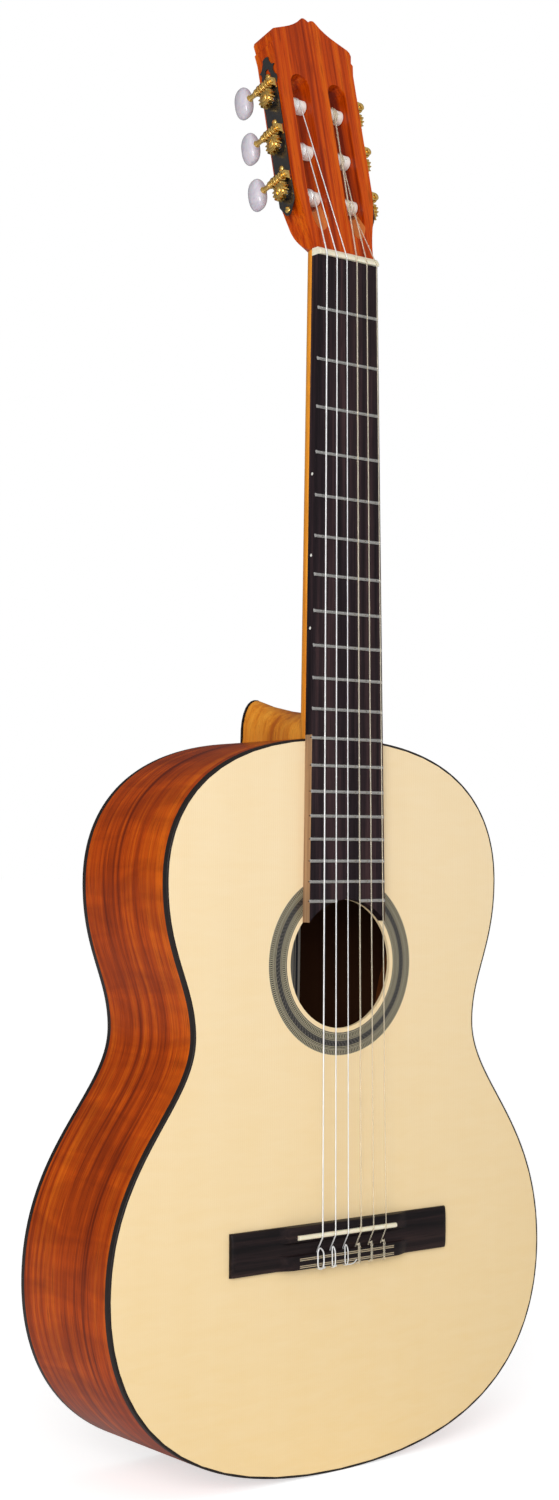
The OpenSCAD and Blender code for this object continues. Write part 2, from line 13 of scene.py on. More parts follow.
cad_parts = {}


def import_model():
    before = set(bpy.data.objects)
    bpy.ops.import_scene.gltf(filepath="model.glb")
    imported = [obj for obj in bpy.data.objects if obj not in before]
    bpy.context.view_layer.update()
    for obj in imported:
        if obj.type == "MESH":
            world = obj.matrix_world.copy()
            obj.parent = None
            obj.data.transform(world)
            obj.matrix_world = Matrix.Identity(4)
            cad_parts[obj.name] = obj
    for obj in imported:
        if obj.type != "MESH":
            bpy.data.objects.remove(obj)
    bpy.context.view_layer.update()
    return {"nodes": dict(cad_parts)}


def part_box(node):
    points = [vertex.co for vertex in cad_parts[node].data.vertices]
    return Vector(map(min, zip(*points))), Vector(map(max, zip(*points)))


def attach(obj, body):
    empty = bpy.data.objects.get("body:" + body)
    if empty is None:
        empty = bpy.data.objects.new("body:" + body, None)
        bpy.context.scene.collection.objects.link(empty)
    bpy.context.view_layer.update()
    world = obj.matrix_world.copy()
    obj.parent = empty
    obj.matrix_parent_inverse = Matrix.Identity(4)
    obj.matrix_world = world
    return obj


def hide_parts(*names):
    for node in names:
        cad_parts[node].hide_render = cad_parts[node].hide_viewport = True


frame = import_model()

MM = 0.001

# Main sizes, read back from the frame
board_low = Vector(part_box("fingerboard")[0]) / MM
back_low, back_high = (corner / MM for corner in map(Vector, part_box("back_binding")))
bridge_low, bridge_high = (corner / MM for corner in map(Vector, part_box("bridge")))

# Body
body_top = back_high.z
body_end = back_low.z
lower_half = back_high.x
upper_half = 142.5
waist_half = 120.5
depth_heel = 96.0
depth_tail = 106.0
back_slope = (depth_tail - depth_heel) / (body_top - body_end)
plate_t = 2.5
side_t = 2.0
binding_t = 1.5
binding_h = 4.5
hole_r = 43.0
rosette_in = 46.0
rosette_r = 61.0
hole_z = body_top - 151

# Neck and fingerboard
board_t = -board_low.y
scale_length = 650.0
nut_w = 52.0
nut_t = 5.0
nut_top = board_t + 2.3
neck_t = 15.5
fret_count = 19

# Head: e runs along it and n behind its face
head_tilt = radians(13)
head_y = -4.0
head_t = 20.0
axle_n = head_t / 2
roller_e = [49.0, 84.0, 119.0]
plate_x = 35.0
plate_thick = 1.0
screw_e = [36.0, 66.5, 101.5, 136.0]
gear_x = plate_x + plate_thick + 3.9
gear_teeth = 14
pitch_r = 6.3
worm_offset = 9.3
ear_n = [2.6, 17.4]
button_n = 34.5
button_size = [5.0, 7.5, 11.5]

# Strings
string_r = [0.55, 0.47, 0.4, 0.5, 0.42, 0.36]
nut_spread = 44.0
nut_shift = 1.0
saddle_spread = 55.0
saddle_shift = 4.0
saddle_half = 42.0
wind_x = 15.5
wind_r = 5.03
saddle_top = board_t + 2.5
saddle_z = -scale_length - 1.5


def side_of(i):
    return -1 if i < 3 else 1


def roller_of(i):
    return roller_e[i] if i < 3 else roller_e[5 - i]


def fret_z(k):
    return -scale_length * (1 - 2 ** (-k / 12))


def board_w(z):
    return nut_w + 10 * -z * 2 / scale_length


def back_y(z):
    """Depth of the back's outer face at height z."""
    return depth_heel + (body_top - z) * back_slope


def from_head(x, n, e):
    """Point of the head's own frame in the guitar's frame."""
    y = head_y + n * cos(head_tilt) + e * sin(head_tilt)
    return Vector((x, y, e * cos(head_tilt) - n * sin(head_tilt)))


def smoothstep(low, high, value):
    t = min(max((value - low) / (high - low), 0), 1)
    return t * t * (3 - 2 * t)


def bezier(c, t):
    return c[0] * (1 - t) ** 3 + c[1] * 3 * t * (1 - t) ** 2 + c[2] * 3 * t * t * (1 - t) + c[3] * t**3


def bezier_slope(c, t):
    return (c[1] - c[0]) * (1 - t) ** 2 + (c[2] - c[1]) * 2 * t * (1 - t) + (c[3] - c[2]) * t * t


def vectors(points):
    return [Vector(p) for p in points]


# ------------ mesh tools


def added(name, data):
    """New object in the scene."""
    made = bpy.data.objects.new(name, data)
    bpy.context.scene.collection.objects.link(made)
    return made


def new_piece(name, points, faces, material, body="root", smooth_angle=35, uvs=None):
    """Mesh object from points in millimetres. uvs gives each point its place along and across the grain."""
    mesh = bpy.data.meshes.new(name)
    mesh.from_pydata([tuple(c * MM for c in p) for p in points], [], faces)
    if uvs:
        layer = mesh.uv_layers.new(name="grain")
        for loop in mesh.loops:
            layer.data[loop.index].uv = [c * MM for c in uvs[loop.vertex_index]]
    mesh.materials.append(material)
    piece = added(name, mesh)
    shape = bmesh.new()
    shape.from_mesh(mesh)
    bmesh.ops.recalc_face_normals(shape, faces=shape.faces)
    shape.to_mesh(mesh)
    shape.free()
    shade(piece, smooth_angle)
    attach(piece, body)
    return piece


def shade(piece, smooth_angle):
    """Smooth shading, with edges sharper than smooth_angle degrees kept crisp."""
    for face in piece.data.polygons:
        face.use_smooth = True
    piece.data.set_sharp_from_angle(angle=radians(smooth_angle))


def grid_faces(rows, columns, closed_rows=False, caps=False):
    """Quads over closed rows of points. Each row has the given number of columns."""
    faces = []
    row_steps = rows if closed_rows else rows - 1
    for r in range(row_steps):
        for c in range(columns):
            a, b = r * columns + c, r * columns + (c + 1) % columns
            up = ((r + 1) % rows) * columns
            faces.append((a, b, up + (c + 1) % columns, up + c))
    if caps:
        faces.append(tuple(range(columns - 1, -1, -1)))
        faces.append(tuple(range((rows - 1) * columns, rows * columns)))
    return faces


def skin(rings):
    """Points and faces of a closed form over rings of points."""
    return [p for ring in rings for p in ring], grid_faces(len(rings), len(rings[0]), caps=True)


def loft(name, rings, material, **options):
    return new_piece(name, *skin(rings), material, **options)


def bevel(piece, width):
    """Softens the piece's sharp edges by a width in millimetres."""
    modifier = piece.modifiers.new("bevel", "BEVEL")
    modifier.width = width * MM
    modifier.segments = 2
    modifier.limit_method = "ANGLE"
    modifier.angle_limit = radians(30)
    return piece


def merged(name, parts, material, **options):
    """One piece from several (points, faces) parts."""
    points, faces = [], []
    for part_points, part_faces in parts:
        faces += [tuple(k + len(points) for k in face) for face in part_faces]
        points += list(part_points)
    return new_piece(name, points, faces, material, **options)


def turned(profile, place, steps=32):
    """Points and faces of a profile of (radius, length) pairs turned about its own axis and put in place."""
    points = []
    for radius, length in profile:
        for k in range(steps):
            a = 2 * pi * k / steps
            points.append(place(max(radius, 0.001) * cos(a), max(radius, 0.001) * sin(a), length))
    return points, grid_faces(len(profile), steps, caps=True)


def block(low, high):
    """Points and faces of a box."""
    xs, ys, zs = zip(low, high)
    points = [Vector((x, y, z)) for z in zs for y in ys for x in xs]
    return points, [(0, 2, 3, 1), (4, 5, 7, 6), (0, 1, 5, 4), (2, 6, 7, 3), (0, 4, 6, 2), (1, 3, 7, 5)]


def smooth_route(points, per_span=6):
    """Catmull-Rom curve through the points."""
    out = []
    for k in range(len(points) - 1):
        p0, p1, p2 = points[max(k - 1, 0)], points[k], points[k + 1]
        p3 = points[min(k + 2, len(points) - 1)]
        for step in range(per_span):
            t = step / per_span
            out.append(
                0.5 * (2 * p1 + (p2 - p0) * t + (2 * p0 - 5 * p1 + 4 * p2 - p3) * t * t
                       + (3 * p1 - p0 - 3 * p2 + p3) * t**3)
            )
    return out + [points[-1]]


def tube(points, radius, sides=10):
    """Points, faces and UVs of a round tube along a route."""
    rows, uvs = [], []
    normal = None
    length = 0.0
    for k, p in enumerate(points):
        ahead = points[min(k + 1, len(points) - 1)] - points[max(k - 1, 0)]
        ahead.normalize()
        if normal is None:
            normal = ahead.orthogonal().normalized()
        normal = (normal - ahead * normal.dot(ahead)).normalized()
        binormal = ahead.cross(normal)
        if k:
            length += (p - points[k - 1]).length
        for j in range(sides):
            a = 2 * pi * j / sides
            rows.append(p + radius * (cos(a) * normal + sin(a) * binormal))
            uvs.append((length, radius * a))
    return rows, grid_faces(len(points), sides, caps=True), uvs


# ------------ materials


class Look:
    """A node material with a Principled shader and short helpers for its nodes."""

    def __init__(self, name, roughness=0.4, **sockets):
        self.material = bpy.data.materials.new(name)
        self.material.use_nodes = True
        self.nodes = self.material.node_tree.nodes
        self.links = self.material.node_tree.links
        self.shader = self.nodes["Principled BSDF"]
        self.shader.inputs["Roughness"].default_value = roughness
        for socket, value in sockets.items():
            self.shader.inputs[socket.replace("_", " ")].default_value = value

    def node(self, kind, inputs=None, **settings):
        made = self.nodes.new("ShaderNode" + kind)
        for key, value in settings.items():
            setattr(made, key, value)
        for key, value in (inputs or {}).items():
            self.feed(made.inputs[key], value)
        return made

    def feed(self, socket, value):
        if isinstance(value, bpy.types.NodeSocket):
            self.links.new(value, socket)
        else:
            socket.default_value = value

    def math(self, operation, a, b=0.0, c=0.0):
        return self.node("Math", {0: a, 1: b, 2: c}, operation=operation).outputs[0]

    def times(self, a, b):
        return self.math("MULTIPLY", a, b)

    def xyz(self):
        """The three parts of a place on the object, in metres."""
        return self.node("SeparateXYZ", {0: self.node("TexCoord").outputs["Object"]}).outputs

    def place(self, scale, uv=False, tilt=0.0):
        """Object coordinates turned about X, or grain coordinates, in metres and scaled per axis."""
        if uv:
            source = self.node("UVMap", uv_map="grain").outputs[0]
        else:
            source = self.node("TexCoord").outputs["Object"]
        if tilt:
            turned_about = {"Vector": source, "Angle": tilt}
            source = self.node("VectorRotate", turned_about, rotation_type="X_AXIS").outputs[0]
        return self.node("Mapping", {"Vector": source, "Scale": scale}).outputs[0]

    def noise(self, vector, scale=1.0, detail=4.0, rough=0.55, distortion=0.0):
        made = self.node("TexNoise", {"Vector": vector, "Scale": scale, "Detail": detail})
        made.inputs["Roughness"].default_value = rough
        made.inputs["Distortion"].default_value = distortion
        return made.outputs["Fac"]

    def cloud(self, scale, detail=4.0, rough=0.55, distortion=0.0):
        """Noise over the object with its own scale on each axis."""
        return self.noise(self.place(scale), 1.0, detail, rough, distortion)

    def ramp(self, value, stops, interpolation="LINEAR"):
        made = self.node("ValToRGB", {"Fac": value})
        ramp = made.color_ramp
        ramp.interpolation = interpolation
        while len(ramp.elements) < len(stops):
            ramp.elements.new(0.5)
        for element, (position, colour) in zip(ramp.elements, stops):
            element.position = position
            element.color = colour + (1,)
        return made.outputs["Color"]

    def mix(self, factor, a, b):
        """Colour a where the factor is 0 and colour b where it is 1."""
        made = self.node("Mix", data_type="RGBA")
        for slot, value in ((0, factor), (6, a), (7, b)):
            self.feed(made.inputs[slot], value + (1,) if isinstance(value, tuple) else value)
        return made.outputs[2]

    def colour(self, value):
        self.feed(self.shader.inputs["Base Color"], value)
        return self

    def rough(self, value, low, high):
        """Roughness that varies with a 0 to 1 value."""
        spread = self.node("MapRange", {0: value, 3: low, 4: high}).outputs[0]
        self.feed(self.shader.inputs["Roughness"], spread)
        return self

    def bump(self, height, strength, distance=0.2):
        made = self.node("Bump", {"Height": height, "Strength": strength, "Distance": distance * MM})
        self.links.new(made.outputs[0], self.shader.inputs["Normal"])
        return self


def rgb(red, green, blue):
    """Scene colour from an 8-bit display colour."""

    def linear(c):
        c /= 255
        return c / 12.92 if c <= 0.04045 else ((c + 0.055) / 1.055) ** 2.4

    return (linear(red), linear(green), linear(blue))


def spruce_look():
    look = Look("spruce", 0.42, Coat_Weight=0.12, Coat_Roughness=0.25, Specular_IOR_Level=0.25)
    wander = look.cloud((5, 1, 2), 3.0)
    offset = look.node("CombineXYZ", {0: look.times(wander, 0.02)}).outputs[0]
    shifted = look.node("VectorMath", {0: look.place((1, 1, 1)), 1: offset}, operation="ADD").outputs[0]
    rings = look.node("TexWave", {"Vector": shifted, "Scale": 185.0, "Distortion": 1.2, "Detail": 2.0,
                                  "Detail Scale": 0.35}, wave_type="BANDS", bands_direction="X",
                      wave_profile="SAW").outputs["Fac"]
    fibre = look.cloud((1500, 400, 18), 3.0)
    silk = look.cloud((34, 20, 150), 3.0, 0.6, 0.5)
    wide = look.cloud((30, 1, 0.8), 3.0)
    strength = look.cloud((70, 1, 3), 2.0)
    base = look.ramp(rings, [(0.0, rgb(250, 230, 194)), (0.7, rgb(249, 226, 184)), (1.0, rgb(238, 210, 164))])
    base = look.mix(look.times(strength, 0.9), base, rgb(249, 225, 181))
    base = look.mix(look.times(fibre, 0.25), base, rgb(234, 202, 150))
    base = look.mix(look.times(wide, 0.6), base, rgb(238, 207, 152))
    # Painted shade: the soundboard's colour turns darker and warmer towards the tail, standing in for the
    # light falling off there.
    place = look.xyz()
    low = look.node("MapRange", {0: place[2], 1: -0.4, 2: -0.8, 3: 0.0, 4: 0.6}).outputs[0]
    base = look.mix(low, base, rgb(234, 200, 130))
    look.colour(look.mix(look.times(silk, 0.22), base, rgb(254, 243, 220)))
    look.rough(fibre, 0.36, 0.5)
    return look.bump(rings, 0.1, 0.05).material


def wood_look(name, light, middle, dark, uv=False, along="z", streaks=1.0, gloss=0.3, coat=0.06,
              pores=1.0, figure=0.0, tilt=0.0):
    """Straight-grained hardwood: long streaks, fine dark pores, a slow change of tone and a cross figure."""
    look = Look(name, gloss, Coat_Weight=coat, Coat_Roughness=0.12, Specular_IOR_Level=0.1)

    def space(across, length):
        scale = {"x": (length, across, across), "z": (across, across, length)}[along]
        return look.place((length, across, across) if uv else scale, uv=uv, tilt=tilt)

    broad = look.noise(space(26 * streaks, 1.6), 1.0, 4.0, 0.6, 0.4)
    streak = look.noise(space(150 * streaks, 4.0), 1.0, 4.0, 0.6, 0.2)
    pore = look.noise(space(1300, 45.0), 1.0, 2.0, 0.5)
    tone = look.math("ADD", look.times(broad, 0.5), look.times(streak, 0.5))
    base = look.ramp(tone, [(0.4, dark), (0.5, middle), (0.6, light)])
    if figure:
        ripple = look.noise(space(14, 55.0), 1.0, 2.0, 0.5, 0.8)
        shine = look.ramp(ripple, [(0.35, (0, 0, 0)), (0.65, (1, 1, 1))])
        base = look.mix(look.times(shine, figure), base, dark)
    mark = look.ramp(pore, [(0.0, (1, 1, 1)), (0.36, (1, 1, 1)), (0.44, (0, 0, 0))])
    base = look.mix(look.times(mark, 0.4 * pores), base, tuple(c * 0.5 for c in dark))
    look.feed(look.shader.inputs["Base Color"], base)
    look.tone = base
    look.rough(streak, gloss * 0.85, gloss * 1.25)
    return look.bump(pore, 0.15 * pores, 0.05)


def raw_and_shaded_inside(look, raw):
    """Darker wood where the surface faces the front, which is the inside of the back: partly the unfinished
    wood's own tone, partly painted shade of the closed body.
    """
    normal = look.node("SeparateXYZ", {0: look.node("NewGeometry").outputs["Normal"]}).outputs[1]
    return look.colour(look.mix(look.math("LESS_THAN", normal, -0.5), look.tone, raw))


def ramp_ends(look, pale):
    """Lighter end grain where the slots' ramps face the tip of the head."""
    slot_x, slot_half, ramp_top = 16.5, 8.2, 44
    along = (0, sin(head_tilt), cos(head_tilt))
    normal = look.node("VectorMath", {0: look.node("NewGeometry").outputs["Normal"], 1: along},
                       operation="DOT_PRODUCT").outputs["Value"]
    place = look.xyz()
    x = look.math("ABSOLUTE", place[0])
    from_slot = look.math("ABSOLUTE", look.math("SUBTRACT", x, slot_x * MM))
    in_slot = look.math("LESS_THAN", from_slot, slot_half * MM)
    low = look.math("LESS_THAN", place[2], ramp_top * MM)
    mask = look.times(look.times(in_slot, low), look.math("GREATER_THAN", normal, 0.2))
    return look.colour(look.mix(look.times(mask, 0.8), look.tone, pale))


def edge_painted_reflection(look, pale, reflection_darker):
    """The board's edges over the body: a pale brown painted reflection of the soundboard beside them."""
    place = look.xyz()
    half = look.math("MULTIPLY_ADD", place[2], -10 / scale_length, (nut_w / 2 - 0.2) * MM)
    at_edge = look.math("GREATER_THAN", look.math("ABSOLUTE", place[0]), half)
    over_body = look.math("LESS_THAN", place[2], (body_top + 1) * MM)
    # Painted reflection: pale streaks on the edges where they stand beside the soundboard.
    streak = look.cloud((200, 900, 12), 3.0)
    edge = look.ramp(streak, [(0.35, pale), (0.65, reflection_darker)])
    return look.colour(look.mix(look.times(at_edge, over_body), look.tone, edge))


def plain_look(name, colour, other, roughness, scale, metallic=0.0, bump=0.1, **sockets):
    """Fine mottled finish: two close tones, a varied roughness and a slight surface relief."""
    look = Look(name, roughness, Metallic=metallic, **sockets)
    mottle = look.cloud((scale, scale, scale), 4.0)
    look.colour(look.ramp(mottle, [(0.3, colour), (0.7, other)]))
    look.rough(mottle, roughness * 0.8, roughness * 1.25)
    return look.bump(mottle, bump, 0.05).material


def ivory_look(name, light, dark, roughness=0.35):
    """Bone with faint long fibres."""
    look = Look(name, roughness, Subsurface_Weight=0.08, Subsurface_Scale=0.004)
    fibre = look.cloud((60, 900, 900), 3.0)
    look.colour(look.ramp(fibre, [(0.3, light), (0.75, dark)]))
    look.rough(fibre, roughness * 0.8, roughness * 1.2)
    return look.bump(fibre, 0.1, 0.05).material


def rosette_look():
    """Rings of black and cream round a dark mosaic band, drawn by radius and angle."""
    look = Look("rosette_look", 0.32, Coat_Weight=0.35, Coat_Roughness=0.2)
    place = look.xyz()
    x = look.times(place[0], 1 / MM)
    z = look.math("MULTIPLY_ADD", place[2], 1 / MM, -hole_z)
    radius = look.math("SQRT", look.math("ADD", look.times(x, x), look.times(z, z)))
    turn = look.math("DIVIDE", look.math("ARCTAN2", z, x), 2 * pi)
    across = look.math("DIVIDE", look.math("SUBTRACT", radius, rosette_in), rosette_r - rosette_in)
    black, grey, pale, dark = rgb(20, 19, 20), rgb(88, 84, 76), rgb(176, 166, 134), rgb(44, 40, 40)
    rings = look.ramp(across, [
        (0.0, grey), (0.04, pale), (0.08, grey), (0.11, pale), (0.24, grey), (0.27, pale), (0.30, black),
        (0.33, pale), (0.355, grey), (0.39, dark), (0.62, pale), (0.645, black), (0.68, pale), (0.705, grey),
        (0.74, pale), (0.77, grey), (0.80, pale), (0.925, grey),
    ], "CONSTANT")

    def tiles(count, low, high, share, phase=0.0):
        """1 on each tile of a ring of tiles between two places across the band."""
        along = look.math("FRACT", look.math("MULTIPLY_ADD", turn, count, phase))
        above, below = look.math("GREATER_THAN", across, low), look.math("LESS_THAN", across, high)
        inside = look.times(above, below)
        return look.times(look.math("LESS_THAN", along, share), inside)

    base = look.mix(tiles(220, 0.12, 0.23, 0.55), rings, black)
    base = look.mix(tiles(270, 0.81, 0.915, 0.55), base, black)
    base = look.mix(tiles(270, 0.95, 1.0, 0.5, 0.5), base, pale)
    base = look.mix(tiles(120, 0.42, 0.5, 0.4), base, grey)
    base = look.mix(tiles(120, 0.5, 0.59, 0.4, 0.5), base, grey)
    base = look.mix(tiles(120, 0.46, 0.55, 0.45, 0.2), base, black)
    tile = look.cloud((900, 900, 900), 2.0)
    look.colour(look.mix(look.times(tile, 0.3), base, black))
    return look.bump(tile, 0.1, 0.04).material


def label_look(low, high):
    """Cream paper with plain border lines, blank inside."""
    look = Look("label_paper", 0.8)
    place = look.xyz()
    centre = (low + high) / 2
    half = (high - low) / 2
    far_x = look.math("ABSOLUTE", look.math("SUBTRACT", place[0], centre.x))
    far_z = look.math("ABSOLUTE", look.math("SUBTRACT", place[2], centre.z))
    edge = look.math("MINIMUM", look.math("SUBTRACT", half.x, far_x), look.math("SUBTRACT", half.z, far_z))
    paper, navy = rgb(214, 210, 200), rgb(26, 32, 66)
    lines = look.ramp(look.times(edge, 60.0), [
        (0.0, paper), (0.12, navy), (0.24, paper), (0.30, navy), (0.34, paper),
    ], "CONSTANT")
    fibre = look.cloud((1200, 1200, 1200), 3.0)
    look.colour(look.mix(look.times(fibre, 0.25), lines, rgb(190, 180, 160)))
    return look.bump(fibre, 0.15, 0.03).material


def string_look(name, colour, other, metallic, roughness, pitch, depth, **sockets):
    """String whose winding, or drawn skin, shows as rings along its own length."""
    look = Look(name, roughness, Metallic=metallic, **sockets)
    along = look.node("UVMap", uv_map="grain").outputs[0]
    turns = look.node("TexWave", {"Vector": along, "Scale": 0.31 / pitch / MM, "Distortion": 0.0},
                      wave_type="BANDS", bands_direction="X").outputs["Fac"]
    tint = look.noise(along, 90.0, 3.0)
    look.colour(look.ramp(tint, [(0.35, colour), (0.7, other)]))
    return look.bump(turns, depth, 0.06).material


SPRUCE = spruce_look()
SIDES = wood_look("mahogany_sides", rgb(214, 98, 10), rgb(182, 68, 2), rgb(108, 32, 2),
                  uv=True, coat=0.04, figure=0.4).material
# The back's inside face is painted darker than raw mahogany, as painted shade inside the closed body.
BACK = raw_and_shaded_inside(wood_look("mahogany_back_shaded_inside", rgb(190, 88, 18), rgb(156, 60, 8), rgb(96, 30, 5),
                            figure=0.4), rgb(66, 40, 26)).material
# Inner faces of the sides: partly the raw wood's own tone, partly painted shade of the closed body, so much
# darker than the outside.
SHADED_INSIDE = wood_look("mahogany_inside_painted_shade", rgb(96, 58, 34), rgb(74, 42, 26), rgb(50, 28, 18),
                   gloss=0.6, coat=0.0).material
NECK = wood_look("neck_cedar", rgb(240, 160, 52), rgb(226, 138, 36), rgb(188, 98, 20),
                 pores=0.8).material
HEAD = ramp_ends(wood_look("head_mahogany", rgb(216, 98, 6), rgb(190, 66, 1), rgb(130, 34, 1),
                           streaks=1.4, tilt=head_tilt), rgb(206, 122, 62)).material
# Rosewood board, with a painted reflection of the soundboard on its edges over the body.
ROSEWOOD = edge_painted_reflection(wood_look("board_rosewood", rgb(62, 44, 46), rgb(38, 28, 32), rgb(18, 13, 17),
                               streaks=1.5, gloss=0.5, coat=0.02),
                     rgb(172, 138, 104), rgb(136, 104, 76)).material
BRIDGE = wood_look("bridge_rosewood", rgb(54, 40, 38), rgb(34, 25, 26), rgb(18, 14, 16),
                   along="x", streaks=1.4, gloss=0.45, coat=0.05).material
# Blocks, linings and braces inside the body: partly the raw cedar's own tone, partly painted shade of the
# closed body.
SHADED_INNER = wood_look("inner_cedar_painted_shade", rgb(150, 92, 48), rgb(122, 68, 34), rgb(90, 46, 22),
                  gloss=0.6, coat=0.0).material
BINDING = plain_look("binding_black", rgb(24, 19, 18), rgb(34, 26, 24), 0.4, 300, bump=0.03,
                     Specular_IOR_Level=0.25)
BONE = ivory_look("bone", rgb(243, 236, 214), rgb(232, 221, 190))
TRIM = ivory_look("trim_holly", rgb(186, 168, 140), rgb(166, 146, 116), 0.5)
DOT = plain_look("dot_shell", rgb(236, 234, 226), rgb(214, 214, 206), 0.3, 900, bump=0.02)
NICKEL = plain_look("fret_nickel", (0.56, 0.55, 0.53), (0.44, 0.43, 0.42), 0.2, 500, metallic=1.0, bump=0.03)
GOLD = plain_look("gold_plate", (0.86, 0.58, 0.18), (0.70, 0.43, 0.11), 0.17, 700, metallic=1.0, bump=0.05)
ENAMEL = plain_look("black_plate", rgb(22, 21, 22), rgb(36, 33, 32), 0.32, 500, bump=0.06, Coat_Weight=0.3)
ROLLER = plain_look("roller_white", rgb(250, 248, 243), rgb(240, 236, 226), 0.38, 600, bump=0.03)
ROSETTE = rosette_look()
LABEL = label_look(*map(Vector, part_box("label")))
WOUND = string_look("silver_winding", (0.93, 0.93, 0.92), (0.82, 0.82, 0.82), 0.7, 0.34, 0.28, 0.5)
NYLON = string_look("clear_nylon", rgb(253, 244, 224), rgb(247, 237, 214), 0.0, 0.2, 1.6, 0.05,
                    Transmission_Weight=0.7, IOR=1.45)


def pearl_look():
    look = Look("pearl_button", 0.22, Coat_Weight=0.4, Coat_Roughness=0.08, Subsurface_Weight=0.12,
                Subsurface_Scale=0.004)
    swirl = look.cloud((90, 150, 110), 3.0, 0.55, 1.6)
    look.colour(look.ramp(swirl, [(0.3, rgb(196, 188, 203)), (0.48, rgb(206, 200, 210)),
                                  (0.62, rgb(214, 208, 216)), (0.75, rgb(200, 192, 205))]))
    look.rough(swirl, 0.14, 0.26)
    return look.bump(swirl, 0.06, 0.05).material


PEARL = pearl_look()

# ------------ body

half_curves = [
    vectors([(0, body_top), (106, body_top), (upper_half, body_top - 45), (upper_half, body_top - 95)]),
    vectors([(upper_half, body_top - 95), (upper_half, body_top - 143), (waist_half, body_top - 161),
             (waist_half, body_top - 195)]),
    vectors([(waist_half, body_top - 195), (waist_half, body_top - 238), (lower_half, body_top - 268),
             (lower_half, body_top - 352)]),
    vectors([(lower_half, body_top - 352), (lower_half, body_top - 424), (136, body_end), (0, body_end)]),
]


def half_outline(inset):
    """Half of the body's outline, from the heel to the tail, moved inwards by inset."""
    points, steps = [], 40
    for c in half_curves:
        for k in range(steps):
            d = bezier_slope(c, k / steps)
            points.append(bezier(c, k / steps) + inset * Vector((d.y, -d.x)) / d.length)
    return points + [Vector((0, body_end + inset))]


def outline_lengths(points):
    lengths = [0.0]
    for a, b in zip(points, points[1:]):
        lengths.append(lengths[-1] + (b - a).length)
    return lengths


def side_wall(name, node, sign):
    """One bent side: a thin wall whose grain follows the bend."""
    outer, inside = half_outline(0), half_outline(side_t)
    points, uvs = [], []
    for p, q, length in zip(outer, inside, outline_lengths(outer)):
        ring = [(p, binding_h), (p, back_y(p.y) - binding_h), (q, back_y(q.y) - plate_t), (q, plate_t)]
        points += [(sign * c.x, y, c.y) for c, y in ring]
        uvs += [(length + 700 * sign, y) for _, y in ring]
    faces = grid_faces(len(outer), 4, caps=True)
    piece = new_piece(name, points, faces, SIDES, uvs=uvs, smooth_angle=40)
    # The inner face takes the inside wood, which carries the painted shade of the closed body.
    piece.data.materials.append(SHADED_INSIDE)
    for face in piece.data.polygons:
        face.material_index = 1 if face.index < 4 * (len(outer) - 1) and face.index % 4 == 2 else 0
    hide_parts(node)
    return piece


def binding(name, node, depth):
    """Ring with a rounded outer edge. depth(z, d) is where a point d inside the face is at height z."""
    section = [(binding_t, 0), (0.7, 0), (0.35, 0.1), (0.1, 0.35), (0, 0.7), (0, binding_h),
               (binding_t, binding_h)]
    rows = []
    for inset, d in section:
        half = half_outline(inset)
        whole = half + [Vector((-p.x, p.y)) for p in half[-2:0:-1]]
        rows.append([(p.x, depth(p.y, d), p.y) for p in whole])
    faces = grid_faces(len(rows), len(rows[0]), closed_rows=True)
    piece = new_piece(name, [p for row in rows for p in row], faces, BINDING, smooth_angle=50)
    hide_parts(node)
    return piece


side_wall("side_bass", "bass_side", -1)
side_wall("side_treble", "treble_side", 1)
binding("binding_top", "top_binding", lambda z, d: d)
binding("binding_back", "back_binding", lambda z, d: back_y(z) - d)


def finish_node(name, material, bevel_width=0.0):
    """Gives a CAD node its finish, and breaks its sharp edges."""
    node = frame["nodes"][name]
    node.data.materials.clear()
    node.data.materials.append(material)
    if bevel_width:
        bevel(node, bevel_width)
    return node


for node_name, material in {
    "soundboard": SPRUCE, "back_plate": BACK, "rosette": ROSETTE, "neck_block": SHADED_INNER, "tail_block": SHADED_INNER,
    "top_lining": SHADED_INNER, "back_lining": SHADED_INNER, "cross_bars": SHADED_INNER, "fan_braces": SHADED_INNER, "back_braces": SHADED_INNER,
    "label": LABEL, "side_dots": DOT,
}.items():
    finish_node(node_name, material)

# ------------ neck, heel and head


half_circle = [pi * k / 24 for k in range(25)]


def fuse(piece, voxel, smooth_steps, low_z):
    """Joins a piece's overlapping solids into one skin and rounds it below the height low_z."""
    remesh = piece.modifiers.new("fuse", "REMESH")
    remesh.mode = "VOXEL"
    remesh.voxel_size = voxel * MM
    bpy.context.view_layer.objects.active = piece
    piece.select_set(True)
    bpy.ops.object.modifier_apply(modifier="fuse")
    piece.select_set(False)
    group = piece.vertex_groups.new(name="round")
    for vertex in piece.data.vertices:
        x, y, z = (c / MM for c in vertex.co)
        near_heel = smoothstep(low_z + 22, low_z, z) * smoothstep(body_top + 0.5, body_top + 3, z)
        group.add([vertex.index], near_heel * smoothstep(1.0, 4.0, y), "REPLACE")
    smooth = piece.modifiers.new("round", "SMOOTH")
    smooth.factor = 0.5
    smooth.iterations = smooth_steps
    smooth.vertex_group = "round"
    shade(piece, 35)
    return piece


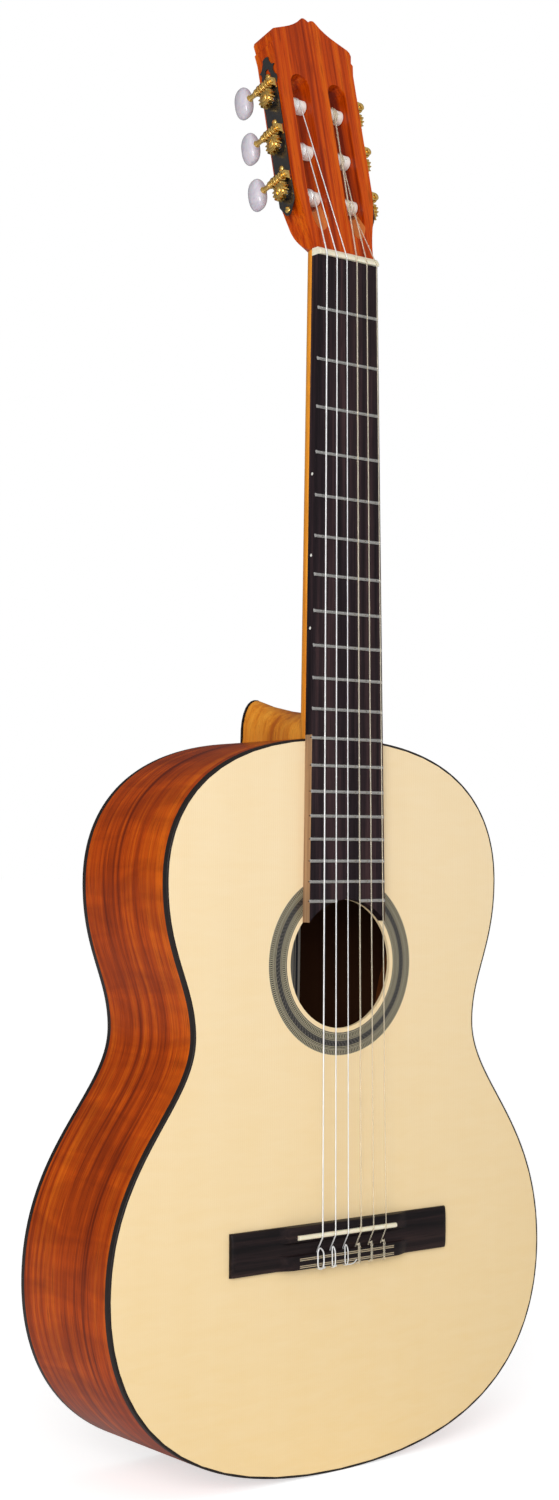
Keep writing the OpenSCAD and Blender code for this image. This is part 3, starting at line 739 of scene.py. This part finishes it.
def neck_piece():
    """Neck shaft and heel, carved as one. The foot stands a little below the body's top edge."""
    foot = body_top - 2.5
    shaft = []
    for z in (nut_t, foot):
        w = board_w(min(z, 0))
        t = neck_t + 3 * (nut_t - z) / (nut_t - body_top)
        shaft.append([(w / 2 * cos(a), t * sin(a) ** 0.85, z) for a in half_circle])
    # Depth, half width and length up the shaft of each slice of the heel
    slices = [(6, 29.5, 19), (28, 25, 18.5), (42, 20.6, 19.2), (55, 17.5, 21), (76, 14.2, 25.5), (94, 13, 31)]
    heel = []
    for y, w, length in slices:
        ring = [(w * cos(a), y, body_top + length * max(sin(a), 0) ** 0.75) for a in half_circle]
        heel.append(ring + [(-w, y, foot), (w, y, foot)])
    piece = merged("neck_shaft_and_heel", [skin(shaft), skin(heel)], NECK)
    fuse(piece, 1.1, 14, body_top + 40)
    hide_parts("neck")
    return piece


neck_piece()
finish_node("heel_cap", BINDING, 0.4)
finish_node("headstock", HEAD, 0.6)
finish_node("fingerboard", ROSEWOOD, 0.35)


def fret_wires():
    """Nineteen crowned wires with bevelled ends, cut back where the board's end is hollowed."""
    parts = []
    crown = [(-1.15, 0.0), (-1.1, 0.45), (-0.8, 0.8), (-0.4, 0.97), (0, 1.0), (0.4, 0.97), (0.8, 0.8),
             (1.1, 0.45), (1.15, 0.0)]
    end_slope = 0.75
    for k in range(1, fret_count + 1):
        z, half = fret_z(k), board_w(fret_z(k)) / 2
        gap = sqrt(max(hole_r**2 - (z - hole_z) ** 2, 0))
        spans = [(-half, half)] if not gap else [(-half, -gap), (gap, half)]
        for x0, x1 in spans:
            rings = []
            for x, lean in ((x0, 1), (x1, -1)):
                outer = abs(abs(x) - half) < 0.01
                slant = lean * end_slope if outer else 0
                ring = [(x + slant * h, -board_t - h, z + dz) for dz, h in crown]
                rings.append(ring + [(x, -board_t + 0.4, z + 1.15), (x, -board_t + 0.4, z - 1.15)])
            parts.append(skin(rings))
    piece = merged("fret_wires", parts, NICKEL, smooth_angle=32)
    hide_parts("frets")
    return piece


fret_wires()


def notched_bar(name, node, half, section, notches, depth, material):
    """Bar along X with a rounded section and a small notch under each string."""
    xs = sorted({-half, half, -half + 0.3, half - 0.3}
                | {x + d for x, r in notches for d in (-1.6 * r, -0.8 * r, 0, 0.8 * r, 1.6 * r)}
                | {-half + 2 * half * k / 40 for k in range(41)})
    top = min(y for y, _ in section)
    rings = []
    for x in xs:
        ease = 0.3 if half - abs(x) < 0.29 else 0.0
        cut = max((depth * max(1 - (abs(x - nx) / (1.5 * r)) ** 2, 0) for nx, r in notches), default=0)
        ring = []
        for y, z in section:
            reach = max(1 - (y - top) / 2.5, 0)
            ring.append((x, y + (cut + ease) * reach, z))
        rings.append(ring)
    piece = loft(name, rings, material)
    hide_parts(node)
    return piece


def nut_x(i):
    return nut_shift + nut_spread * (i / 5 - 0.5)


def saddle_x(i):
    return saddle_shift + saddle_spread * (i / 5 - 0.5)


nut_section = [(0.0, 0.0), (-nut_top + 0.6, 0.0), (-nut_top + 0.2, 0.15), (-nut_top, 0.6),
               (-nut_top + 0.15, 1.4), (-nut_top + 1.0, 2.8), (-nut_top + 2.2, 4.2), (-nut_top + 3.2, nut_t),
               (0.0, nut_t)]
notched_bar("nut_bone", "nut", nut_w / 2, nut_section, [(nut_x(i), string_r[i]) for i in range(6)], 0.5, BONE)
saddle_section = [(-3.0, saddle_z - 1.5)] + [
    (-saddle_top + 1.5 - 1.5 * sin(pi * k / 10), saddle_z - 1.5 * cos(pi * k / 10)) for k in range(11)
] + [(-3.0, saddle_z + 1.5)]
notched_bar("saddle_bone", "saddle", saddle_half, saddle_section,
            [(saddle_x(i), string_r[i]) for i in range(6)], 0.12, BONE)

# ------------ bridge

bridge_z = bridge_high.z
bridge_w = bridge_high.z - bridge_low.z
bridge_half = bridge_high.x
tie_w = 9.5
tie_h = -bridge_low.y
hole_h = 4.2
tie_back = bridge_z - bridge_w
tie_front = tie_back + tie_w


def bridge_piece():
    """Bridge carved from one block: flat wings that rise to the saddle rail and the tie block."""
    # Distance from the front edge, height at the block and height on the wings
    section = [
        (0.0, 0.0, 0.0), (0.0, 5.6, 1.9), (0.25, 6.4, 2.5), (0.9, 6.9, 3.0), (2.0, 7.0, 3.4),
        (4.5, 7.0, 3.8), (8.8, 7.0, 4.0), (9.6, 6.8, 4.0), (10.1, 6.2, 4.0), (10.5, 4.9, 4.0),
        (11.2, 3.9, 4.0), (12.2, 3.55, 4.0), (14.0, 3.5, 4.0), (18.0, 3.5, 4.0), (18.3, 3.7, 3.98),
        (18.5, 4.4, 3.96), (18.55, 6.9, 3.95), (18.8, 7.35, 3.9), (19.3, 7.5, 3.88), (23.0, 7.5, 3.75),
        (26.8, 7.5, 3.1), (27.5, 7.25, 2.8), (27.9, 6.7, 2.4), (28.0, 5.8, 1.9), (28.0, 0.0, 0.0),
    ]
    end_round = 4.0
    xs = [-bridge_half + d for d in (0.0, 0.25, 0.8, 1.8, 4)] + [-70, -58, -56.5, -55]
    xs += [-55 + 0.75 * k for k in range(1, 17)] + [-42.5, -30, -15, 0]
    xs = xs + [-x for x in xs[-2::-1]]
    rings = []
    for x in xs:
        to_block = smoothstep(56, 43, abs(x)) ** 0.8
        from_end = min(bridge_half - abs(x), end_round)
        edge = 0.45 + 0.55 * sqrt(max(1 - (1 - from_end / end_round) ** 2, 0))
        rings.append([(x, -edge * (wing + (middle - wing) * to_block), bridge_z - v)
                      for v, middle, wing in section])
    piece = loft("bridge_carved", rings, BRIDGE, smooth_angle=42)
    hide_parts("bridge")
    return piece


def tie_trim():
    """Two pairs of pale lines let into the top of the tie block."""
    parts = []
    for z in (tie_back + 1.6, tie_front - 3.2):
        for dz in (0, 1.1):
            parts.append(block((-40.5, -tie_h - 0.04, z + dz - 0.28), (40.5, -tie_h + 0.3, z + dz + 0.28)))
    piece = merged("tie_block_lines", parts, TRIM)
    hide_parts("tie_block_trim")
    return piece


def tie_hole_painted_shade():
    """Black discs at the mouths of the twelve tie holes: painted shade standing in for the dark inside of the
    holes.
    """
    parts = []
    for i in range(6):
        for z in (tie_front + 0.02, tie_back - 0.02):
            parts.append(turned([(0.95, -0.03), (0.95, 0.03)],
                                lambda u, v, s, i=i, z=z: Vector((saddle_x(i) + u, -hole_h + v, z + s)), 16))
    return merged("tie_holes_painted_shade", parts, BINDING)


bridge_piece()
tie_trim()
# Black discs as painted shade where the tie holes open.
tie_hole_painted_shade()

# ------------ strings


def string_turns(i):
    """Turns on the roller, from the tucked-in end to the point where the string leaves for the nut."""
    r = string_r[i]
    reach = wind_r + r
    nut = Vector((nut_x(i), -nut_top - r, 0.6))
    n = (nut.y - head_y) * cos(head_tilt) - nut.z * sin(head_tilt)
    e = (nut.y - head_y) * sin(head_tilt) + nut.z * cos(head_tilt)
    d_n, d_e = axle_n - n, roller_of(i) - e
    far = hypot(d_n, d_e)
    a = atan2(d_e, d_n) + asin(reach / far)
    away = sqrt(far * far - reach * reach)
    start = atan2(e + away * sin(a) - roller_of(i), n + away * cos(a) - axle_n)
    points = []
    steps, turns = 20, 3.2
    for k in range(int(steps * turns), -1, -1):
        angle = start - 2 * pi * k / steps
        tuck = smoothstep(steps * (turns - 0.35), steps * turns, k)
        rho = reach - 1.6 * tuck
        x = side_of(i) * (wind_x + 2.06 * r * k / steps)
        points.append(from_head(x, axle_n + rho * cos(angle), roller_of(i) + rho * sin(angle)))
    return points


def bass_tie(i):
    """Two long strands over the tie block, joined in an oval loop, with the end held at the back."""
    r, x = string_r[i], saddle_x(i)
    top = -tie_h - r
    wide = {0: 2.5, 1: 1.3, 2: 1.3}[i]
    loops = vectors([
        (x, -hole_h, tie_back - 0.2), (x + 0.1, -hole_h - 0.8, tie_back - r - 0.5),
        (x + 0.5 * wide, -tie_h + 0.3, tie_back - r - 0.5), (x + 0.85 * wide, top, tie_back + 0.8),
        (x + wide, top - 0.1, tie_back + 3.0), (x + wide, top - 0.1, tie_front - 2.4),
        (x + 0.9 * wide, top + 0.1, tie_front + 0.3), (x + 0.5 * wide, top + 0.5, tie_front + 2.2),
        (x, top + 0.7, tie_front + 3.0), (x - 0.6 * wide, top + 0.5, tie_front + 2.3),
        (x - 0.95 * wide, top + 0.1, tie_front + 0.2), (x - wide, top - 0.1, tie_front - 3.0),
        (x - wide, top - 0.1, tie_back + 3.0), (x - 0.85 * wide, top - 0.1, tie_back + 0.8),
        (x - 0.3 * wide, top - 0.4 * r, tie_back - 0.5), (x + 0.3 * wide, top - 0.9 * r, tie_back - 0.4),
    ])
    loose = [(x + wide + 0.7, top - 0.6 * r, tie_back + 0.2), (x + wide + 1.6, top + 0.9, tie_back - 0.7)]
    if i == 2:
        loose = [(x + 3.6, top - 0.4, tie_back - 0.4), (x + 6.2, top - 0.5, tie_back + 0.2),
                 (x + 8.6, top - 0.3, tie_back + 2.0)]
    return smooth_route(loops + vectors(loose))


def treble_tie(i):
    """The string twisted round itself across the tie block, with a small knot in front of it."""
    r, x = string_r[i], saddle_x(i)
    top = -tie_h - r
    points = vectors([
        (x, -hole_h, tie_back - 0.2), (x + 0.1, -hole_h - 0.7, tie_back - r - 0.4),
        (x + 0.4, -tie_h + 0.4, tie_back - r - 0.3),
    ])
    for k in range(13):
        a = 0.5 * pi * k
        points.append(Vector((x + 0.7 * cos(a), top - 0.25 * r * sin(a), tie_back + 0.5 + 0.78 * k)))
    for k in range(9):
        a = 0.5 * pi * k
        points.append(Vector((x + 1.15 * cos(a), top + 1.2 + 1.0 * sin(a), tie_front + 1.6 + 0.13 * k)))
    for k in range(12, -1, -1):
        a = 0.5 * pi * k + pi
        points.append(Vector((x + 0.7 * cos(a), top - 0.25 * r * sin(a), tie_back + 0.5 + 0.78 * k)))
    end = vectors([(x - 0.5, top + 0.6, tie_back - 0.5), (x - 1.4, top + 1.6, tie_back - 0.8)])
    return smooth_route(points + end, 4)


def string_piece(i):
    r, x = string_r[i], saddle_x(i)
    span = vectors([(nut_x(i), -nut_top - r, 0.6), (nut_x(i), -nut_top - r, -1.5)])
    lean = (x - nut_x(i)) / (saddle_z - 0.6)
    span += vectors([(nut_x(i) + lean * z, -nut_top - r + (nut_top - saddle_top) * z / saddle_z, z)
                     for z in (-160, -325, -490, saddle_z + 3)])
    down = vectors([(x, -saddle_top - r, saddle_z + 0.3), (x, -saddle_top - r + 0.12, saddle_z - 0.9)])
    into_hole = vectors([(x, -saddle_top - r + 1.0, saddle_z - 2.4), (x, -hole_h - 0.9, tie_front + 2.4),
                         (x, -hole_h, tie_front + 0.2), (x, -hole_h, tie_front - 3)])
    down += smooth_route(into_hole, 3)
    route = string_turns(i) + span + down + (bass_tie(i) if i < 3 else treble_tie(i))
    points, faces, uvs = tube(route, r, 12)
    look = WOUND if i < 3 else NYLON
    piece = new_piece(f"string_{i + 1}_wire", points, faces, look, uvs=uvs, smooth_angle=60)
    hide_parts(f"string_{i + 1}")
    return piece


for i in range(6):
    string_piece(i)

# ------------ tuners


def flat_shape(name, loops, place, thickness, material):
    """Sheet cut to closed loops, the first outside and the others holes, with softened edges."""
    edge = 0.15
    curve = bpy.data.curves.new(name, "CURVE")
    curve.dimensions = "2D"
    curve.fill_mode = "BOTH"
    curve.extrude = thickness / 2 - edge
    curve.bevel_depth = edge
    curve.bevel_resolution = 1
    curve.offset = -edge
    for loop in loops:
        spline = curve.splines.new("POLY")
        spline.points.add(len(loop) - 1)
        spline.use_cyclic_u = True
        for point, (u, v) in zip(spline.points, loop):
            point.co = (u, v, 0, 1)
    maker = added(name + "_maker", curve)
    bpy.context.view_layer.update()
    mesh = bpy.data.meshes.new_from_object(maker)
    points = [place(v.co.x, v.co.y, v.co.z) for v in mesh.vertices]
    faces = [tuple(p.vertices) for p in mesh.polygons]
    bpy.data.objects.remove(maker)
    bpy.data.meshes.remove(mesh)
    return new_piece(name, points, faces, material, smooth_angle=40)


def arc(u, v, r, start, end, steps=10):
    """Points of an arc, in degrees."""
    return [(u + r * cos(radians(start + (end - start) * k / steps)),
             v + r * sin(radians(start + (end - start) * k / steps))) for k in range(steps + 1)]


def plate_loops():
    """Outline of a tuner plate in depth and distance along the head, with its lyre window and holes."""
    right = arc(0, 36, 4, -90, -20, 6) + [(8, 41), (8, 128)]
    right += arc(5.6, 132.5, 3.6, -30, 60, 6) + arc(9.4, 139.5, 3.4, -140, -250, 8)
    right += [(6.0, 143.5), (4.4, 145.5), (3.2, 147.5), (3.0, 150.2), (1.6, 151.0)]
    outline = right + [(-n, e) for n, e in reversed(right)]
    lyre = [(0, 131), (2.2, 132.2), (3.4, 134.6), (3.2, 137.4), (1.9, 139.6), (1.5, 142)]
    lyre = lyre + [(-n, e) for n, e in reversed(lyre[1:])]
    holes = [arc(0, e, 3.08, 0, 345, 23) for e in roller_e]
    return [[(n + axle_n, e) for n, e in loop] for loop in [outline, lyre] + holes]


def on_head(side):
    """Maps head depth, distance and height above the middle of the plate's thickness into place."""
    return lambda n, e, h: from_head(side * (plate_x + plate_thick / 2 + h), n, e)


def tuner_plates():
    for side, name in ((-1, "bass"), (1, "treble")):
        plate = flat_shape(f"plate_{name}", plate_loops(), on_head(side), plate_thick, ENAMEL)
        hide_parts(f"tuner_plate_{name}")


def worm_ears():
    """Upright gold ears that carry the worms' ends."""
    for side, name in ((-1, "bass"), (1, "treble")):
        parts = []
        for e in roller_e:
            for n in ear_n:
                outline = [(plate_x + 0.6, -4.2), (plate_x + 1.4, -3.1), (gear_x - 1, -2.8)]
                outline += [(gear_x + u, v) for u, v in arc(0, 0, 2.8, -90, 90, 10)]
                outline += [(gear_x - 1, 2.8), (plate_x + 1.4, 3.1), (plate_x + 0.6, 4.2)]
                rings = [[from_head(side * x, n + d, e + worm_offset + v) for x, v in outline]
                         for d in (-0.6, 0.6)]
                parts.append(skin(rings))
        bevel(merged(f"worm_ears_{name}", parts, GOLD), 0.18)


def screw_head(place, radius, height, slot_turn):
    """Domed head with a straight slot. place maps across, across and outward."""
    slot, deep = 0.16 * radius, 0.42 * height
    us = [-0.995, -0.9, -0.7, -0.45, -slot / radius]
    rows = [(u * radius, 0) for u in us] + [(-slot, deep), (slot, deep)]
    rows += [(-u * radius, 0) for u in reversed(us)]
    points = []
    c, s = cos(slot_turn), sin(slot_turn)
    for u, cut in rows:
        half = sqrt(radius**2 - u * u)
        row = [(u, -half, -0.3)]
        row += [(u, half * f, height * sqrt(max(1 - 0.97 * (u * u + (half * f) ** 2) / radius**2, 0)) - cut)
                for f in (-1, -0.93, -0.75, -0.4, 0, 0.4, 0.75, 0.93, 1)]
        row.append((u, half, -0.3))
        points += [place(u * c - v * s, u * s + v * c, max(h, -0.3)) for u, v, h in row]
    return points, grid_faces(len(rows), 11, caps=True)


def plate_screws():
    parts = []
    for side in (-1, 1):
        for k, e in enumerate(screw_e):
            def place(u, v, h, side=side, e=e):
                return from_head(side * (plate_x + plate_thick + h), axle_n + u, e + v)
            parts.append(screw_head(place, 2.4, 1.7, 0.9 * k + side))
            parts.append(turned([(1.1, -8.0), (1.1, 0.1)], place, 12))
    piece = merged("plate_screw_heads", parts, GOLD)
    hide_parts("plate_screws")
    return piece


def worm_gear_piece(i):
    """Toothed wheel with a turned boss and a slotted screw."""
    side, e0 = side_of(i), roller_of(i)
    tooth = [(5.4, -7), (pitch_r, -3.7), (7.0, -2.2), (7.0, 2.2), (pitch_r, 3.7), (5.4, 7)]

    def place(n, e, x):
        return from_head(side * (gear_x + x), axle_n + n, e0 + e)

    def ring(x, shrink):
        points = []
        for k in range(gear_teeth):
            for r, turn in tooth:
                a = radians(360 / gear_teeth * k + turn)
                points.append(place((r - shrink) * sin(a), (r - shrink) * cos(a), x))
        return points

    rings = [ring(x, shrink) for x, shrink in ((-2, 0.3), (-1.7, 0), (1.7, 0), (2, 0.3))]
    boss = turned([(4.4, 1.9), (4.4, 2.15), (4.1, 2.35), (3.2, 2.4)], place, 32)
    screw = screw_head(lambda u, v, h: place(u, v, 2.4 + h), 2.8, 1.3, 0.7 * i)
    piece = merged(f"gear_{i + 1}", [skin(rings), boss, screw], GOLD, body=f"roller_set_{i + 1}")
    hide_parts(f"worm_gear_{i + 1}")
    return piece


def worm_piece(i):
    """Worm thread, shaft and collars as one turned and cut piece."""
    side, e0 = side_of(i), roller_of(i) + worm_offset
    pitch = 2 * pi * pitch_r / gear_teeth
    root_r, steps_per_turn = 2.1, 14

    def place(u, v, s):
        return from_head(side * gear_x + u, s, e0 - v)

    half = (ear_n[1] - ear_n[0] - 1.2 - 0.4) / 2
    rings, sides = [], 28
    count = ceil(2 * half / pitch * steps_per_turn)
    for k in range(count + 1):
        s = -half + 2 * half * k / count
        ring = []
        for j in range(sides):
            phi = 2 * pi * j / sides
            crest = cos(phi - (2 * pi * s / pitch - pi / 2))
            rise = smoothstep(-0.55, 0.55, crest)
            ring.append(place((root_r + 1.3 * rise) * cos(phi), (root_r + 1.3 * rise) * sin(phi), axle_n + s))
        rings.append(ring)
    front = turned([(1.0, 0.8), (1.5, 1.0), (1.6, 1.3), (1.6, axle_n - half + 0.2)], place, 24)
    ear = ear_n[1]
    rear = turned([(1.6, axle_n + half - 0.2), (1.6, ear + 0.85), (2.4, ear + 0.9), (2.7, ear + 1.2),
                   (2.7, ear + 2.2), (2.2, ear + 2.8), (1.9, ear + 4.5), (1.75, ear + 7.5), (2.1, ear + 8.8),
                   (2.5, ear + 9.4), (2.5, ear + 10.4), (1.6, ear + 10.6), (1.6, button_n + 2.4)], place, 28)
    parts = [skin(rings), front, rear]
    piece = merged(f"worm_{i + 1}", parts, GOLD, body=f"button_set_{i + 1}", smooth_angle=45)
    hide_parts(f"worm_shaft_{i + 1}")
    return piece


def button_piece(i):
    """Oval pearl button: fuller than an ellipse, a little thinner towards its outer edge."""
    side, e0 = side_of(i), roller_of(i) + worm_offset
    rings, steps, sides = [], 22, 40
    for k in range(1, steps):
        s = -cos(pi * k / steps)
        full = (1 - abs(s) ** 2.5) ** (1 / 2.5)
        thin = 1 - 0.14 * s
        ring = []
        for j in range(sides):
            a = 2 * pi * j / sides
            u = abs(cos(a)) ** 0.9 * (1 if cos(a) > 0 else -1)
            v = abs(sin(a)) ** 0.9 * (1 if sin(a) > 0 else -1)
            x = side * gear_x + button_size[0] * full * thin * u
            ring.append(from_head(x, button_n + button_size[1] * s, e0 + button_size[2] * full * v))
        rings.append(ring)
    piece = loft(f"button_{i + 1}", rings, PEARL, body=f"button_set_{i + 1}", smooth_angle=60)
    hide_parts(f"tuner_button_{i + 1}")
    return piece


tuner_plates()
worm_ears()
plate_screws()
for i in range(6):
    worm_gear_piece(i)
    worm_piece(i)
    button_piece(i)
    finish_node(f"roller_{i + 1}", ROLLER, 0.12)

# ------------ floor, light and camera


def floor():
    """Pale studio floor that the lower bout rests on."""
    mesh = bpy.data.meshes.new("floor")
    level, half = (body_end - 0.2) * MM, 30
    corners = [(-half, -half, level), (half, -half, level), (half, half, level), (-half, half, level)]
    mesh.from_pydata(corners, [], [(0, 1, 2, 3)])
    look = Look("floor_paper", 0.9)
    grain = look.cloud((3, 3, 3), 2.0)
    look.colour(look.ramp(grain, [(0.3, (0.93, 0.93, 0.93)), (0.7, (0.91, 0.91, 0.91))]))
    look.shader.inputs["Emission Color"].default_value = (1, 1, 1, 1)
    seen = look.node("LightPath").outputs["Is Camera Ray"]
    look.feed(look.shader.inputs["Emission Strength"], look.times(seen, 0.6))
    mesh.materials.append(look.material)
    added("floor", mesh)


def soft_light(name, place, aim, size, power):
    light = bpy.data.lights.new(name, "AREA")
    light.shape = "RECTANGLE"
    light.size, light.size_y = size
    light.energy = power
    lamp = added(name, light)
    lamp.location = place
    lamp.rotation_euler = (Vector(aim) - Vector(place)).to_track_quat("-Z", "Y").to_euler()


def camera():
    """Camera to the left of the front, level with the sound hole and looking slightly up."""
    place = Vector((-0.9079, -1.0923, -0.4028))
    heading, pitch, roll = radians(-38.06), radians(2.85), radians(0.15)
    level = Vector((-sin(heading), cos(heading), 0))
    right = Vector((cos(heading), sin(heading), 0))
    up = Vector((0, 0, 1))
    forward = level * cos(pitch) + up * sin(pitch)
    up = up * cos(pitch) - level * sin(pitch)
    right, up = right * cos(roll) + up * sin(roll), up * cos(roll) - right * sin(roll)
    data = bpy.data.cameras.new("camera")
    data.sensor_width = 36
    data.lens = 50.73
    made = added("camera", data)
    turn = Matrix((right, up, -forward)).transposed().to_4x4()
    made.matrix_world = Matrix.Translation(place) @ turn
    bpy.context.scene.camera = made


def world():
    """White surround whose light on the object is strongest from the front left."""
    made = bpy.data.worlds.new("studio")
    made.use_nodes = True
    nodes, links = made.node_tree.nodes, made.node_tree.links
    background = nodes["Background"]
    background.inputs["Color"].default_value = (1, 1, 1, 1)
    aim = nodes.new("ShaderNodeVectorMath")
    aim.operation = "DOT_PRODUCT"
    aim.inputs[1].default_value = (-0.4, -0.91, -0.1)
    links.new(nodes.new("ShaderNodeTexCoord").outputs["Generated"], aim.inputs[0])
    level = nodes.new("ShaderNodeMapRange")
    level.inputs["From Min"].default_value = -1
    level.inputs["To Min"].default_value = 0.07
    level.inputs["To Max"].default_value = 0.9
    links.new(aim.outputs["Value"], level.inputs["Value"])
    seen = nodes.new("ShaderNodeMath")
    seen.operation = "MAXIMUM"
    links.new(nodes.new("ShaderNodeLightPath").outputs["Is Camera Ray"], seen.inputs[0])
    links.new(level.outputs["Result"], seen.inputs[1])
    links.new(seen.outputs[0], background.inputs["Strength"])
    bpy.context.scene.world = made
    bpy.context.scene.view_settings.view_transform = "Standard"


floor()
world()
camera()
middle = (0, 0.03, -0.4)
soft_light("key", (-1.3, -1.2, -0.05), middle, (0.8, 1.0), 17)


bpy.context.view_layer.update()
